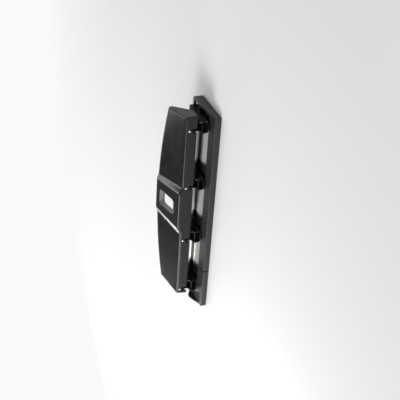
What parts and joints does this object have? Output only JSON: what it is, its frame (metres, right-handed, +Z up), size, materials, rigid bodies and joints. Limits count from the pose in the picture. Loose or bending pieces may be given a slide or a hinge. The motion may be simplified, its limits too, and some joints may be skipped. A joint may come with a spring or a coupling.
{
  "type": "four-hole paper punch",
  "caption": "Long desk paper punch: wide lever handle over a row of punch heads on a steel plate and plastic base, with a sliding paper guide and two chip trays.",
  "frame": {"origin": "centre of the punch's box in plan, on the desk under the rubber feet", "axes": "+X along the punch, the guide's stop at the low end; +Y from the paper side to the palm side; +Z up"},
  "size_m": [0.2834, 0.075, 0.0531],
  "materials": {
    "base_plastic": "satin moulded",
    "tray_plastic": "satin moulded",
    "nickel_plate": "bright nickel plate",
    "bright_stop": "bright plated",
    "pin_steel": "ground and polished",
    "black_paint": "satin black",
    "screw_steel": "zinc plated",
    "foot_rubber": "matt",
    "handle_paint": "satin black",
    "bezel_plastic": "light grey",
    "clip_steel": "blued",
    "spring_steel": "drawn wire"
  },
  "bodies": {
    "base": {"base_housing": "base_plastic", "base_plate": "nickel_plate", "paper_stop": "bright_stop", "head_bracket_1": "black_paint", "head_bracket_2": "black_paint", "head_bracket_3": "black_paint", "head_bracket_4": "black_paint", "pin_spring_1": "spring_steel", "pin_spring_2": "spring_steel", "pin_spring_3": "spring_steel", "pin_spring_4": "spring_steel", "pivot_pins": "black_paint", "bracket_rivets": "black_paint", "plate_screws": "screw_steel", "rubber_feet": "foot_rubber"},
    "handle": {"handle_shell": "handle_paint", "window_bezel": "bezel_plastic", "arm_rivets": "pin_steel", "lever_arm_1": "black_paint", "lever_arm_2": "black_paint", "lever_arm_3": "black_paint", "lever_arm_4": "black_paint"},
    "guide": {"paper_guide": "base_plastic"},
    "tray_left": {"chip_tray_left": "tray_plastic"},
    "tray_right": {"chip_tray_right": "tray_plastic"},
    "pin_1": {"punch_pin_1": "pin_steel", "pin_clip_1": "clip_steel"},
    "pin_2": {"punch_pin_2": "pin_steel", "pin_clip_2": "clip_steel"},
    "pin_3": {"punch_pin_3": "pin_steel", "pin_clip_3": "clip_steel"},
    "pin_4": {"punch_pin_4": "pin_steel", "pin_clip_4": "clip_steel"}
  },
  "joints": [
    {"name": "handle_hinge", "type": "hinge", "parent": "base", "child": "handle", "pos_m": [0.00475, -0.0215, 0.017], "axis": [-1, 0, 0], "range_deg": [0, 20], "stiffness_Nm_per_rad": 0.7, "springref_deg": -28.65},
    {"name": "pin_slide_1", "type": "slide", "parent": "base", "child": "pin_1", "axis": [0, 0, -1], "range_m": [0, 0.00389], "deforming": ["pin_spring_1"]},
    {"name": "pin_slide_2", "type": "slide", "parent": "base", "child": "pin_2", "axis": [0, 0, -1], "range_m": [0, 0.00389], "deforming": ["pin_spring_2"]},
    {"name": "pin_slide_3", "type": "slide", "parent": "base", "child": "pin_3", "axis": [0, 0, -1], "range_m": [0, 0.00389], "deforming": ["pin_spring_3"]},
    {"name": "pin_slide_4", "type": "slide", "parent": "base", "child": "pin_4", "axis": [0, 0, -1], "range_m": [0, 0.00389], "deforming": ["pin_spring_4"]},
    {"name": "guide_slide", "type": "slide", "parent": "base", "child": "guide", "axis": [-1, 0, 0], "range_m": [0, 0.065]},
    {"name": "tray_hinge_left", "type": "hinge", "parent": "base", "child": "tray_left", "pos_m": [-0.0609, 0.011, 0.0026], "axis": [1, 0, 0], "range_deg": [0, 80]},
    {"name": "tray_hinge_right", "type": "hinge", "parent": "base", "child": "tray_right", "pos_m": [0.0722, 0.011, 0.0026], "axis": [1, 0, 0], "range_deg": [0, 80]}
  ],
  "couplings": [
    {"joint": "pin_slide_1", "follows": "handle_hinge", "m_per_rad": 0.011113},
    {"joint": "pin_slide_2", "follows": "handle_hinge", "m_per_rad": 0.011113},
    {"joint": "pin_slide_3", "follows": "handle_hinge", "m_per_rad": 0.011113},
    {"joint": "pin_slide_4", "follows": "handle_hinge", "m_per_rad": 0.011113}
  ]
}
